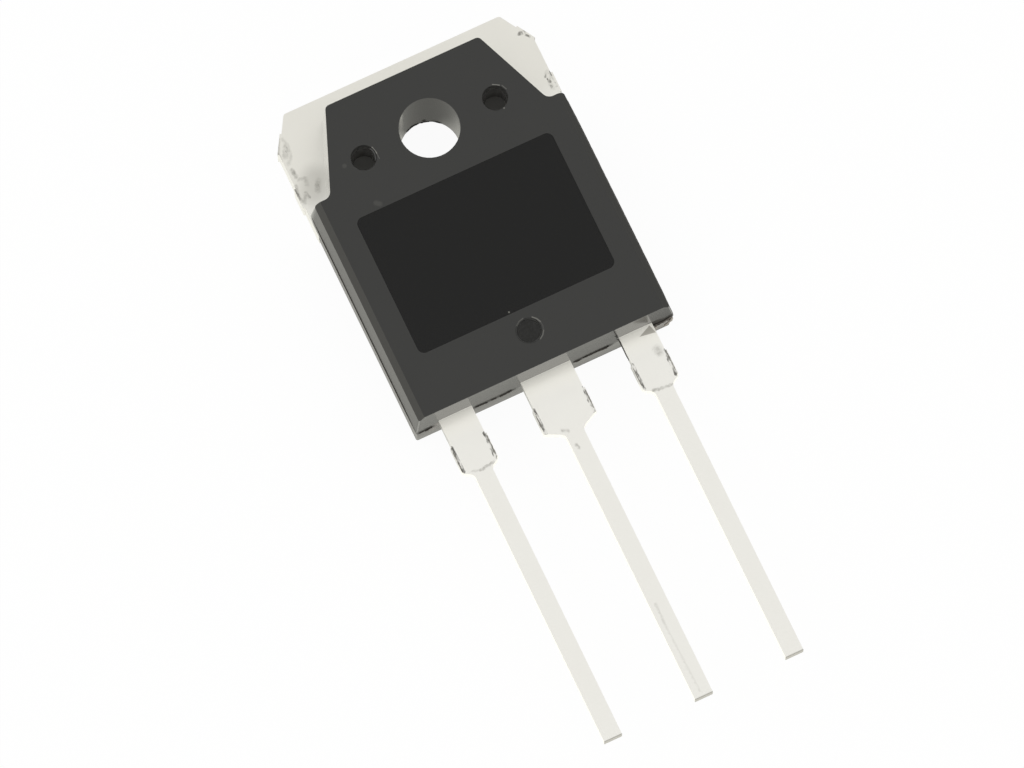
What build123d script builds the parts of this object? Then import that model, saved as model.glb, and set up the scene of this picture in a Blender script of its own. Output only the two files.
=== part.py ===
"""Power MOSFET in a three-lead through-hole plastic package with a bare heat-sink tab.

The package lies on its heat-sink back. X runs across the leads, +Y points from the leads
to the tab and +Z out of the marked front. The origin is on the axis of the fastening-screw
bore, at the heat-sink back. Lengths are in millimetres, angles in degrees.
"""

import os
from math import atan2, degrees, hypot, radians, tan

from build123d import *

# ---- heat-sink header and its leads (one strip of dual-gauge copper) --------------------
header_thickness = 1.5
tab_inset = 0.02  # housing's widest line to the tab's side edge
tab_reach = 5.0  # bore axis to the free end of the tab
tab_crop_width = 1.19  # cropped corners at the free end, along X and along Y
tab_crop_height = 2.0
tab_corner_radius = 0.2
ear_reach = 2.15  # bore axis to where the plate steps in to the die pad
ear_width = 0.95  # step of each side at the ears
pad_cover = 2.15  # housing's lead end to the die pad
lock_overhang = 0.3  # coined rim round the die pad that the housing grips
lock_height = 0.9  # back face to the underside of that rim
bore_lining = 0.5  # plastic between the screw bore and the hole in the plate

tie_bar_width = 1.2  # sheared strip connections left on the tab's edges
tie_bar_stub = 0.1
tie_bar_side_y = 0.25

lead_thickness = 0.6
lead_height = 2.6  # back face to the underside of the leads
lead_pitch = 5.45
lead_length = 20.0  # from the housing to the tips
lead_tip_width = 1.06
gate_lead_width = 2.0
source_lead_width = 2.0
drain_lead_width = 3.0
outer_shoulder_reach = 3.28  # from the housing to the end of the gate's and source's wide part
drain_shoulder_reach = 3.16
shoulder_slope = 0.5  # fall of the shoulder for each millimetre that it narrows
neck_radius = 0.4
dam_bar_reach = 1.66  # from the housing to the near side of the sheared dam bar
dam_bar_width = 1.5
dam_bar_stub = 0.08
drain_ramp_run = 1.1  # length in Y over which the drain lead drops to the header
drain_bend_radius = 0.45

post_width = 3.2  # bonding posts of the gate and source leads, inside the housing
post_length = 1.9
post_embedment = 0.9  # from the housing's lead end to the post
post_corner_radius = 0.3
post_lock_radius = 0.4

# ---- chip and its connections ------------------------------------------------------------
die_length = 6.6
die_width = 5.2
die_thickness = 0.28
die_margin = 1.8  # die pad's lead end to the chip
solder_margin = 0.15
solder_thickness = 0.06
gate_wire_diameter = 0.15
source_wire_diameter = 0.38
wire_foot = 2.2  # welded length, in wire diameters
wire_press = 0.4  # share of the wire's radius flattened where it is welded down
wire_loop_height = 0.65  # posts' front face to the centre of the wire at its highest
source_wire_spacing = 1.3

# ---- moulded housing -----------------------------------------------------------------------
body_thickness = 4.8
body_width = 15.6  # at the parting line
body_reach = 14.85  # bore axis to the lead end, at the parting line
ledge_reach = 1.0  # bore axis to the ledges beside the neck
neck_reach = 3.8  # bore axis to the housing's narrow end
neck_end_width = 9.64
ledge_width = 1.05  # ledges beside the neck's root
neck_end_radius = 0.3
neck_root_radius = 0.5
ledge_radius = 0.15
lead_end_radius = 0.12
side_draft = 7.6  # walls in front of the parting line
lead_end_draft = 4.35
neck_draft = 4.3
back_side_draft = 2.0  # walls behind the parting line
back_lead_end_draft = 5.3
bevel_run = 0.35
bevel_depth = 0.4
bore_radius = 1.7
panel_width = 11.85
panel_height = 8.43
panel_margin = 3.42  # housing's lead end to the panel
panel_radius = 0.4
panel_depth = 0.03
pin_hole_radius = 0.72
pin_hole_spacing = 7.96
pin_hole_taper = 2
pin_hole_depth = 2.0
ejector_radius = 0.72
ejector_margin = 2.14  # housing's lead end to the middle of the ejector mark
ejector_depth = 0.08

# ---- sizes that follow from the others ----------------------------------------------------
tab_width = body_width - 2 * tab_inset
tab_end_width = tab_width - 2 * tab_crop_width
pad_width = tab_width - 2 * ear_width
pad_reach = body_reach - pad_cover
neck_root_width = body_width - 2 * ledge_width
lining_hole_radius = bore_radius + bore_lining
parting_height = lead_height  # the mould halves close on the back of the leads
lead_face = lead_height + lead_thickness
lead_tip_y = -body_reach - lead_length
dam_bar_y = -body_reach - dam_bar_reach - dam_bar_width / 2
post_y = -body_reach + post_embedment + post_length / 2
die_y = -pad_reach + die_margin + die_width / 2
die_face = header_thickness + solder_thickness + die_thickness
wire_peak = lead_face + wire_loop_height
rim_reach = pad_reach + lock_overhang
rim_gauge = header_thickness - lock_height
panel_y = -body_reach + panel_margin + panel_height / 2
ejector_y = -body_reach + ejector_margin

front = Plane.XY.offset(body_thickness)
header_front = Plane.XY.offset(header_thickness)


def plan_corners(solid, x, y):
    """The pair of edges that climb from back to front at the corners (-x, y) and (x, y)."""
    climbing = solid.edges().filter_by(lambda edge: abs((edge % 0.5).Z) > 0.7)
    return climbing.sort_by(lambda edge: hypot(abs(edge.center().X) - x, edge.center().Y - y))[:2]


def is_undrafted(face):
    """True for a wall that stands square to the heat-sink back."""
    return abs(face.normal_at().Z) < 1e-6


def lead_plan(x, width, top_y, shoulder_reach):
    """Plan of one lead: wide part up to top_y, sloped shoulders, slim pin and sheared stubs."""
    shoulder_y = -body_reach - shoulder_reach
    fall = (width - lead_tip_width) / 2 * shoulder_slope
    neck_y = shoulder_y - fall
    with BuildSketch(Plane.XY.offset(lead_height)) as plan:
        with BuildLine():
            Polyline(
                (x - width / 2, top_y),
                (x - width / 2, shoulder_y),
                (x - lead_tip_width / 2, neck_y),
                (x - lead_tip_width / 2, lead_tip_y),
                (x + lead_tip_width / 2, lead_tip_y),
                (x + lead_tip_width / 2, neck_y),
                (x + width / 2, shoulder_y),
                (x + width / 2, top_y),
                close=True,
            )
        make_face()
        fillet(plan.vertices().group_by(Axis.Y)[1], radius=neck_radius)
        with Locations((x, dam_bar_y)):
            Rectangle(width + 2 * dam_bar_stub, dam_bar_width)
    return plan.sketch


def wire_path(start, end, diameter):
    """Vertical loop of bond wire between two welded feet, given as (x, y, height of seat)."""
    run = Vector(end[0] - start[0], end[1] - start[1], 0)
    foot = wire_foot * diameter
    lift = diameter / 2 * (1 - wire_press)
    first = start[2] + lift
    last = end[2] + lift
    upright = Plane((start[0], start[1], 0), x_dir=run, z_dir=(run.Y, -run.X, 0))
    with BuildLine(upright) as path:
        Polyline(
            (0, first),
            (foot, first),
            (0.3 * run.length, first + 0.75 * (wire_peak - first)),
            (0.44 * run.length, wire_peak),
            (0.6 * run.length, wire_peak),
            (run.length - foot, last),
            (run.length, last),
        )
    return path


# ---- drain header: heat-sink plate, die pad and centre lead in one stamping ---------------
with BuildPart() as drain_header:
    with BuildSketch() as plate:
        with BuildLine():
            Polyline(
                (0, tab_reach),
                (tab_end_width / 2, tab_reach),
                (tab_width / 2, tab_reach - tab_crop_height),
                (tab_width / 2, -ear_reach),
                (pad_width / 2, -ear_reach),
                (pad_width / 2, -pad_reach),
                (0, -pad_reach),
            )
            mirror(about=Plane.YZ)
        make_face()
        fillet(plate.vertices().group_by(Axis.Y)[-1], radius=tab_corner_radius)
        crop_run = (tab_width - tab_end_width) / 2
        crop_length = hypot(crop_run, tab_crop_height)
        crop_angle = degrees(atan2(tab_crop_height, crop_run))
        stub_from_corner = tie_bar_width / 2 / crop_length
        stub_x = tab_width / 2 - crop_run * stub_from_corner
        stub_y = tab_reach - tab_crop_height * (1 - stub_from_corner)
        for side in (-1, 1):
            with Locations(Location((side * stub_x, stub_y, 0), (0, 0, -side * crop_angle))):
                Rectangle(tie_bar_width, 2 * tie_bar_stub)
            with Locations((side * tab_width / 2, tie_bar_side_y)):
                Rectangle(2 * tie_bar_stub, tie_bar_width)
        Circle(lining_hole_radius, mode=Mode.SUBTRACT)
    extrude(amount=header_thickness)
    with BuildSketch(Plane.XY.offset(lock_height)) as lock_rim:
        with Locations((0, -(ear_reach + rim_reach) / 2)):
            Rectangle(pad_width + 2 * lock_overhang, rim_reach - ear_reach)
    extrude(amount=rim_gauge)

# The centre lead leaves the pad's rim and climbs to the height of the other two leads.
with BuildPart() as drain_strip:
    strip_low = header_thickness - lead_thickness / 2
    strip_high = lead_height + lead_thickness / 2
    with BuildSketch(Plane.YZ) as strip_section:
        with BuildLine():
            FilletPolyline(
                (-pad_reach + 1, strip_low),
                (-rim_reach, strip_low),
                (-rim_reach - drain_ramp_run, strip_high),
                (lead_tip_y, strip_high),
                radius=drain_bend_radius,
            )
        trace(line_width=lead_thickness)
    extrude(amount=drain_lead_width, both=True)
    extrude(
        lead_plan(0, drain_lead_width, -pad_reach + 1, drain_shoulder_reach),
        amount=body_thickness,
        both=True,
        mode=Mode.INTERSECT,
    )

with drain_header:
    add(drain_strip.part)
drain_header.part.label = "drain_header"


# ---- gate and source leads, each with a bonding post inside the housing --------------------
def post_lead(x, width):
    """Solid of an outer lead with its bonding post and the post's locking hole."""
    with BuildPart() as lead:
        extrude(lead_plan(x, width, post_y, outer_shoulder_reach), amount=lead_thickness)
        with BuildSketch(Plane.XY.offset(lead_height)) as post:
            with Locations((x, post_y)):
                RectangleRounded(post_width, post_length, post_corner_radius)
        extrude(amount=lead_thickness)
        with BuildSketch(Plane.XY.offset(lead_height)) as lock:
            with Locations((x, -body_reach + post_embedment + 1.5 * post_lock_radius)):
                Circle(post_lock_radius)
        extrude(amount=lead_thickness, mode=Mode.SUBTRACT)
    return lead.part


with BuildPart() as gate_lead:
    add(post_lead(-lead_pitch, gate_lead_width))
gate_lead.part.label = "gate_lead"

with BuildPart() as source_lead:
    add(post_lead(lead_pitch, source_lead_width))
source_lead.part.label = "source_lead"

# ---- solder layer and chip -------------------------------------------------------------------
with BuildPart() as die_solder:
    with BuildSketch(header_front):
        with Locations((0, die_y)):
            Rectangle(die_length + 2 * solder_margin, die_width + 2 * solder_margin)
    extrude(amount=solder_thickness)
die_solder.part.label = "die_solder"

with BuildPart() as silicon_die:
    with BuildSketch(header_front.offset(solder_thickness)):
        with Locations((0, die_y)):
            Rectangle(die_length, die_width)
    extrude(amount=die_thickness)
silicon_die.part.label = "silicon_die"


# ---- bond wires: round wire, flattened where it is welded to the chip and to its post --------
def bond_wire(start, end, diameter, post):
    """Solid of one bond wire from the chip's face to the top of a post."""
    path = wire_path(start, end, diameter)
    with BuildPart() as wire:
        add(path)
        with BuildSketch(Plane(path.line @ 0, z_dir=path.line % 0)):
            Circle(diameter / 2)
        sweep(transition=Transition.RIGHT)
        add(silicon_die.part, mode=Mode.SUBTRACT)
        add(post, mode=Mode.SUBTRACT)
    return wire.part


post_seat_y = post_y - post_length / 6
with BuildPart() as gate_bond_wire:
    gate_pad = (-0.25 * die_length, die_y - 0.25 * die_width, die_face)
    gate_seat = (-lead_pitch, post_seat_y, lead_face)
    add(bond_wire(gate_pad, gate_seat, gate_wire_diameter, gate_lead.part))
gate_bond_wire.part.label = "gate_bond_wire"

with BuildPart() as source_bond_wire_a:
    source_pad_a = (0.05 * die_length, die_y - 0.1 * die_width, die_face)
    source_seat_a = (lead_pitch - source_wire_spacing / 2, post_seat_y, lead_face)
    add(bond_wire(source_pad_a, source_seat_a, source_wire_diameter, source_lead.part))
source_bond_wire_a.part.label = "source_bond_wire_a"

with BuildPart() as source_bond_wire_b:
    source_pad_b = (source_pad_a[0] + source_wire_spacing, source_pad_a[1], die_face)
    source_seat_b = (lead_pitch + source_wire_spacing / 2, post_seat_y, lead_face)
    add(bond_wire(source_pad_b, source_seat_b, source_wire_diameter, source_lead.part))
source_bond_wire_b.part.label = "source_bond_wire_b"

inserts = (
    drain_header,
    gate_lead,
    source_lead,
    die_solder,
    silicon_die,
    gate_bond_wire,
    source_bond_wire_a,
    source_bond_wire_b,
)

# ---- housing: two drafted mould halves meeting at the parting line ---------------------------
# The back half of the mould shapes the walls below the parting line.
with BuildPart() as back_cavity:
    with BuildSketch():
        with Locations((0, (tab_reach - body_reach) / 2)):
            Rectangle(body_width, tab_reach + body_reach)
    extrude(amount=body_thickness)
    back_sides = back_cavity.faces().filter_by(Axis.X)
    draft(back_sides, Plane.XY.offset(parting_height), -back_side_draft)
    back_lead_end = back_cavity.faces().sort_by(Axis.Y)[0]
    draft(back_lead_end, Plane.XY.offset(parting_height), -back_lead_end_draft)
    fillet(plan_corners(back_cavity, body_width / 2, -body_reach), radius=lead_end_radius)

with BuildPart() as mold_body:
    with BuildSketch() as housing_plan:
        with BuildLine():
            Polyline(
                (0, neck_reach),
                (neck_end_width / 2, neck_reach),
                (neck_root_width / 2, -ledge_reach),
                (body_width / 2, -ledge_reach),
                (body_width / 2, -body_reach),
                (0, -body_reach),
            )
            mirror(about=Plane.YZ)
        make_face()
    extrude(amount=body_thickness)
    side_walls = mold_body.faces().filter_by(Axis.X)
    draft(side_walls, Plane.XY.offset(parting_height), side_draft)
    lead_end_wall = mold_body.faces().sort_by(Axis.Y)[0]
    draft(lead_end_wall, Plane.XY.offset(parting_height), lead_end_draft)
    neck_walls = mold_body.faces().filter_by(is_undrafted)
    draft(neck_walls, header_front, neck_draft)
    fillet(plan_corners(mold_body, body_width / 2, -body_reach), radius=lead_end_radius)
    fillet(plan_corners(mold_body, body_width / 2, -ledge_reach), radius=ledge_radius)
    fillet(plan_corners(mold_body, neck_root_width / 2, -ledge_reach), radius=neck_root_radius)
    fillet(plan_corners(mold_body, neck_end_width / 2, neck_reach), radius=neck_end_radius)
    add(back_cavity.part, mode=Mode.INTERSECT)

    # Bevels along the two long front edges.
    bevel_start = body_width / 2 - tan(radians(side_draft)) * (
        body_thickness - bevel_depth - parting_height
    )
    for side in (-1, 1):
        bevel = Plane(
            (side * bevel_start, 0, body_thickness - bevel_depth),
            x_dir=(0, 1, 0),
            z_dir=(side * bevel_depth, 0, bevel_run),
        )
        split(bisect_by=bevel, keep=Keep.BOTTOM)

    # Polished marking panel, ejector mark, hold-down pin holes and the screw bore.
    with BuildSketch(front):
        with Locations((0, panel_y)):
            RectangleRounded(panel_width, panel_height, panel_radius)
    extrude(amount=-panel_depth, mode=Mode.SUBTRACT)
    with BuildSketch(front):
        with Locations((0, ejector_y)):
            Circle(ejector_radius)
    extrude(amount=-ejector_depth, mode=Mode.SUBTRACT)
    with BuildSketch(front):
        with GridLocations(pin_hole_spacing, 0, 2, 1):
            Circle(pin_hole_radius)
    extrude(amount=-pin_hole_depth, taper=pin_hole_taper, mode=Mode.SUBTRACT)
    with Locations(front):
        Hole(bore_radius)

    # Room for everything that is moulded in.
    for insert in inserts:
        add(insert.part, mode=Mode.SUBTRACT)
mold_body.part.label = "mold_body"

os.makedirs("parts", exist_ok=True)
for piece in (mold_body, *inserts):
    export_step(piece.part, f"parts/{piece.part.label}.step")
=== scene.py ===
"""Looks of a bare three-lead power transistor that lies on its heat-sink back.

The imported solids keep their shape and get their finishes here: matt moulded epoxy with a
polished marking panel, and tin-plated copper with the marks of the cutting tools. What grows
along a line, such as torn resin, flash and shear burrs, is swept along that line by one
Geometry Nodes tree. Blender works in metres; MM turns the part's millimetres into metres.
"""

from math import cos, radians, sin

import bmesh
import bpy
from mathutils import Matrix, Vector


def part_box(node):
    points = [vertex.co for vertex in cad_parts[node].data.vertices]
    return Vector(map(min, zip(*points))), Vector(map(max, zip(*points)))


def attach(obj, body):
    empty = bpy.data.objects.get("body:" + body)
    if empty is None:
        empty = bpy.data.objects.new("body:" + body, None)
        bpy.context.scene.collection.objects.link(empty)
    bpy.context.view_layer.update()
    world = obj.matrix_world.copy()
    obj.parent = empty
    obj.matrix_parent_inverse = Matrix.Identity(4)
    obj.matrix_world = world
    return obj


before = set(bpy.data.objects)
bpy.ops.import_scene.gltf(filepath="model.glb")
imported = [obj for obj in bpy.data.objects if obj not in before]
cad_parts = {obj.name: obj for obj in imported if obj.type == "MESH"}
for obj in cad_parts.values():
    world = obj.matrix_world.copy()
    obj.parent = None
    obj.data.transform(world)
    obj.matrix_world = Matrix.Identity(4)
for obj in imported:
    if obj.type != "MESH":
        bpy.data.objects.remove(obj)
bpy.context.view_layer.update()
MM = 0.001

# ---- places on the part, in millimetres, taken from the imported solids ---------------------


def box_mm(node):
    """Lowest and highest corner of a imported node, in millimetres."""
    low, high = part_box(node)
    return Vector(low) / MM, Vector(high) / MM


body_low, body_high = box_mm("mold_body")
_, header_high = box_mm("drain_header")
gate_low, gate_high = box_mm("gate_lead")
source_low, source_high = box_mm("source_lead")

front_face = body_high.z
lead_back = gate_low.z
lead_front = gate_high.z
parting_height = lead_back  # the mould halves close on the back of the leads
lead_end = body_low.y
lead_tip = gate_low.y
gate_x = (gate_low.x + gate_high.x) / 2
source_x = (source_low.x + source_high.x) / 2
drain_x = (gate_x + source_x) / 2
body_side = body_high.x
tab_side = header_high.x

# Sizes of the details that the finishes and burrs follow.
plate_gauge = 1.5  # the thick copper of the tab
outer_half_width = 1.0  # half the wide part of the gate and source leads
drain_half_width = 1.5
wide_leads = (  # axis and half width of each lead's wide part
    (gate_x, outer_half_width),
    (drain_x, drain_half_width),
    (source_x, outer_half_width),
)
dam_bar_start = 1.6  # from the moulding to the sheared dam bar
dam_bar_end = 3.2
panel_depth = 0.03
ejector_centre = Vector((0.06, lead_end + 2.14, front_face))
ejector_radius = 0.72
ejector_depth = 0.08
pin_hole_x = 3.98
pin_hole_radius = 0.72
pin_hole_fill_depth = 1.2  # depth at which the painted fill light is palest
bore_radius = 1.7
neck_foot = (-1.6, -0.9)  # where the glossy walls of the neck fade in

# Normals, as the share of a unit vector along one axis.
LEVEL = 0.95
UPRIGHT = 0.5
SQUARE_ON = 0.9
BEVEL_LEAN = 0.1

# ---- nodes ---------------------------------------------------------------------------------


def linear(hex_colour):
    """An sRGB hex colour as the linear RGBA that the shader works in."""
    shares = [int(hex_colour[i : i + 2], 16) / 255 for i in (1, 3, 5)]
    return [s / 12.92 if s <= 0.04045 else ((s + 0.055) / 1.055) ** 2.4 for s in shares] + [1]


def add_node(tree, kind, inputs=(), **settings):
    """Adds a node, sets its properties, and fills inputs with values, sockets or other nodes."""
    node = tree.nodes.new(kind)
    for name, value in settings.items():
        setattr(node, name, value)
    for socket, value in dict(inputs).items():
        if isinstance(value, bpy.types.Node):
            value = next(output for output in value.outputs if output.enabled)
        if isinstance(value, bpy.types.NodeSocket):
            tree.links.new(value, node.inputs[socket])
        else:
            node.inputs[socket].default_value = value
    return node


def arc(centre_x, centre_y, radius, height, start, end, step=8):
    """Points on a circle between two angles in degrees."""
    count = max(1, int(abs(end - start) / step))
    angles = [radians(start + (end - start) * i / count) for i in range(count + 1)]
    return [(centre_x + radius * cos(a), centre_y + radius * sin(a), height) for a in angles]


# ---- parts of a finish ---------------------------------------------------------------------


def new_finish(name):
    """An empty node material, its tree, and the place on the part in millimetres."""
    finish = bpy.data.materials.new(name)
    finish.use_nodes = True
    tree = finish.node_tree
    tree.nodes.clear()
    place = add_node(
        tree,
        "ShaderNodeVectorMath",
        {0: add_node(tree, "ShaderNodeTexCoord").outputs["Object"], "Scale": 1 / MM},
        operation="SCALE",
    )
    return finish, tree, place


def scuff(tree, place, start, end, half_width, feather):
    """1 on the straight scuff from start to end, falling to 0 over the feather."""
    along = Vector(end) - Vector(start)
    away = add_node(tree, "ShaderNodeVectorMath", {0: place, 1: start}, operation="SUBTRACT")
    run = max(along.length_squared, 1e-6)
    share = add_node(
        tree, "ShaderNodeVectorMath", {0: away, 1: along / run}, operation="DOT_PRODUCT"
    )
    share = add_node(tree, "ShaderNodeClamp", {0: share})
    foot = add_node(tree, "ShaderNodeVectorMath", {0: along, "Scale": share}, operation="SCALE")
    gap = add_node(tree, "ShaderNodeVectorMath", {0: away, 1: foot}, operation="DISTANCE")
    return add_node(
        tree,
        "ShaderNodeMapRange",
        {0: gap, 1: half_width, 2: half_width + feather, 3: 1.0, 4: 0.0},
        interpolation_type="SMOOTHSTEP",
    )


def scuffs(tree, place, lay, marks):
    """The strongest of several scuffs: start, end, half width, feather, strength.

    Ends are given in a face's own two directions, and lay puts them on the face.
    """
    strongest = 0.0
    for start, end, half_width, feather, strength in marks:
        mark = scuff(tree, place, lay(*start), lay(*end), half_width, feather)
        mark = add_node(tree, "ShaderNodeMath", {0: mark, 1: strength}, operation="MULTIPLY")
        strongest = add_node(tree, "ShaderNodeMath", {0: mark, 1: strongest}, operation="MAXIMUM")
    return strongest


# ---- finishes ------------------------------------------------------------------------------


def molded_epoxy():
    """Black filled epoxy, transfer moulded: spark-eroded matt skin, polished marking panel.

    The matt skin scatters the tent's light into a soft charcoal; the panel mirrors the dim
    opening and reads almost black; steep walls mirror the white paper and read mid grey; the
    blind pin holes are painted paler with depth, a painted fill light against their shade.
    """
    finish, tree, place = new_finish("molded_black_epoxy")
    axes = add_node(tree, "ShaderNodeSeparateXYZ", {0: place})
    height = axes.outputs["Z"]
    geometry = add_node(tree, "ShaderNodeNewGeometry")
    facing = add_node(tree, "ShaderNodeSeparateXYZ", {0: geometry.outputs["True Normal"]})
    upward = add_node(
        tree, "ShaderNodeMath", {0: facing.outputs["Z"], 1: LEVEL}, operation="GREATER_THAN"
    )
    steep = add_node(
        tree, "ShaderNodeMath", {0: facing.outputs["Z"], 1: UPRIGHT}, operation="LESS_THAN"
    )
    sideways = add_node(
        tree, "ShaderNodeMath", {0: facing.outputs["X"]}, operation="ABSOLUTE"
    )
    sideways = add_node(
        tree, "ShaderNodeMath", {0: sideways, 1: SQUARE_ON}, operation="GREATER_THAN"
    )
    panel = add_node(
        tree,
        "ShaderNodeMath",
        {0: height, 1: front_face - panel_depth, 2: panel_depth / 3},
        operation="COMPARE",
    )
    panel = add_node(tree, "ShaderNodeMath", {0: panel, 1: upward}, operation="MULTIPLY")
    mark_floor = add_node(
        tree,
        "ShaderNodeMath",
        {0: height, 1: front_face - ejector_depth, 2: panel_depth / 3},
        operation="COMPARE",
    )
    mark_floor = add_node(
        tree, "ShaderNodeMath", {0: mark_floor, 1: upward}, operation="MULTIPLY"
    )

    # Filler clouds of about 3 mm and spark-erosion grain of 0.12 mm, drawn coarse enough to
    # show.
    clouds = add_node(tree, "ShaderNodeTexNoise", {"Vector": place, "Scale": 0.35, "Detail": 4.0})
    grain = add_node(
        tree, "ShaderNodeTexNoise", {"Vector": place, "Scale": 1 / 0.12, "Detail": 2.0}
    )
    skin = add_node(
        tree,
        "ShaderNodeMix",
        {0: clouds, 6: linear("#161615"), 7: linear("#1A1A18")},
        data_type="RGBA",
    )
    skin = add_node(
        tree, "ShaderNodeMix", {0: panel, 6: skin, 7: linear("#181818")}, data_type="RGBA"
    )

    # The bevel along the gate side is painted a little paler: painted light, as the light falls
    # from that side.
    bevel_painted_light = add_node(tree, "ShaderNodeMath", {0: upward, 1: steep}, operation="ADD")
    gate_side = add_node(
        tree, "ShaderNodeMath", {0: facing.outputs["X"], 1: -BEVEL_LEAN}, operation="LESS_THAN"
    )
    bevel_painted_light = add_node(
        tree, "ShaderNodeMath", {0: gate_side, 1: bevel_painted_light}, operation="SUBTRACT", use_clamp=True
    )
    skin = add_node(
        tree, "ShaderNodeMix", {0: bevel_painted_light, 6: skin, 7: linear("#2C2B28")}, data_type="RGBA"
    )

    # Pale marks: painted highlights on the ejector's rim and on the rims of the pin holes, and a
    # few pale specks.
    ejector_glint_arcs = []
    for start, end, strength in ((15, 55, 0.7), (-25, 15, 0.15), (-65, -25, 0.5), (95, 135, 0.45)):
        points = arc(*ejector_centre.xy, ejector_radius + 0.035, front_face, start, end, 20)
        for first, second in zip(points, points[1:]):
            ejector_glint_arcs.append((first[:2], second[:2], 0.01, 0.04, strength))
    rim_glints_and_specks = scuffs(
        tree,
        place,
        lambda x, y: (x, y, front_face),
        (
            ((-pin_hole_x + 0.66, 0.34), (-pin_hole_x + 0.75, -0.06), 0.02, 0.03, 1.0),
            ((-pin_hole_x + 0.75, -0.06), (-pin_hole_x + 0.76, -0.4), 0.01, 0.03, 0.3),
            ((pin_hole_x + 0.2, 0.75), (pin_hole_x + 0.52, 0.56), 0.015, 0.03, 0.8),
            ((pin_hole_x + 0.65, 0.48), (pin_hole_x + 0.78, 0.2), 0.01, 0.03, 0.4),
            ((pin_hole_x + 0.2, -0.73), (pin_hole_x + 0.2, -0.73), 0.03, 0.03, 0.8),
            ((-0.53, -11.3), (-0.53, -11.3), 0.03, 0.05, 1.0),
            ((-5.13, 0.03), (-5.13, 0.03), 0.06, 0.12, 0.12),
            ((-4.46, -2.61), (-4.3, -2.75), 0.06, 0.15, 0.12),
            *ejector_glint_arcs,
        ),
    )
    skin = add_node(
        tree, "ShaderNodeMix", {0: rim_glints_and_specks, 6: skin, 7: linear("#75746F")}, data_type="RGBA"
    )

    # Painted fill light in the blind pin holes: paler with depth, against their shade.
    mirrored = add_node(tree, "ShaderNodeVectorMath", {0: place}, operation="ABSOLUTE")
    mirrored = add_node(
        tree, "ShaderNodeVectorMath", {0: mirrored, 1: (1, 1, 0)}, operation="MULTIPLY"
    )
    hole_gap = add_node(
        tree, "ShaderNodeVectorMath", {0: mirrored, 1: (pin_hole_x, 0, 0)}, operation="DISTANCE"
    )
    in_hole = add_node(
        tree, "ShaderNodeMath", {0: hole_gap, 1: pin_hole_radius + 0.005}, operation="LESS_THAN"
    )
    depth = add_node(
        tree, "ShaderNodeMapRange", {0: height, 1: front_face, 2: front_face - pin_hole_fill_depth}
    )
    hole_fill_paint = add_node(
        tree,
        "ShaderNodeMix",
        {0: depth, 6: linear("#2A2A29"), 7: linear("#72716E")},
        data_type="RGBA",
    )
    skin = add_node(tree, "ShaderNodeMix", {0: in_hole, 6: skin, 7: hole_fill_paint}, data_type="RGBA")

    # Walls outside the bore and the pin holes. The mould's polished inserts leave the walls of
    # the neck glossy, and their colour is painted greyer as a painted sheen.
    from_bore = add_node(
        tree, "ShaderNodeVectorMath", {0: place, 1: (1, 1, 0)}, operation="MULTIPLY"
    )
    from_bore = add_node(tree, "ShaderNodeVectorMath", {0: from_bore}, operation="LENGTH")
    outer = add_node(
        tree,
        "ShaderNodeMath",
        {0: from_bore, 1: bore_radius + 0.2},
        operation="GREATER_THAN",
    )
    outer = add_node(tree, "ShaderNodeMath", {0: outer, 1: steep}, operation="MULTIPLY")
    outer = add_node(tree, "ShaderNodeMath", {0: outer, 1: in_hole}, operation="SUBTRACT")
    outer = add_node(tree, "ShaderNodeMath", {0: outer, 1: 0.0}, operation="MAXIMUM")
    by_neck = add_node(
        tree,
        "ShaderNodeMapRange",
        {0: axes.outputs["Y"], 1: neck_foot[0], 2: neck_foot[1]},
        interpolation_type="SMOOTHSTEP",
    )
    neck_gloss_and_sheen = add_node(tree, "ShaderNodeMath", {0: outer, 1: by_neck}, operation="MULTIPLY")
    skin = add_node(
        tree, "ShaderNodeMix", {0: neck_gloss_and_sheen, 6: skin, 7: linear("#4A4945")}, data_type="RGBA"
    )

    # A glaze on the neck, on the front half's rounded corners, and thinner on its lead end.
    endways = add_node(
        tree, "ShaderNodeMath", {0: facing.outputs["Y"], 1: -SQUARE_ON}, operation="LESS_THAN"
    )
    front_half = add_node(
        tree, "ShaderNodeMath", {0: height, 1: parting_height}, operation="GREATER_THAN"
    )
    rounded = add_node(tree, "ShaderNodeMath", {0: sideways, 1: endways}, operation="ADD")
    rounded = add_node(tree, "ShaderNodeMath", {0: 1.0, 1: rounded}, operation="SUBTRACT")
    glazed = add_node(
        tree, "ShaderNodeMath", {0: endways, 1: 0.45, 2: rounded}, operation="MULTIPLY_ADD"
    )
    glazed = add_node(tree, "ShaderNodeMath", {0: glazed, 1: front_half}, operation="MULTIPLY")
    glazed = add_node(
        tree, "ShaderNodeMath", {0: glazed, 1: outer, 2: neck_gloss_and_sheen}, operation="MULTIPLY_ADD"
    )
    glazed = add_node(tree, "ShaderNodeMath", {0: glazed, 1: 1.0}, operation="MINIMUM")

    sideways = add_node(tree, "ShaderNodeMath", {0: sideways, 1: outer}, operation="MULTIPLY")

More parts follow.
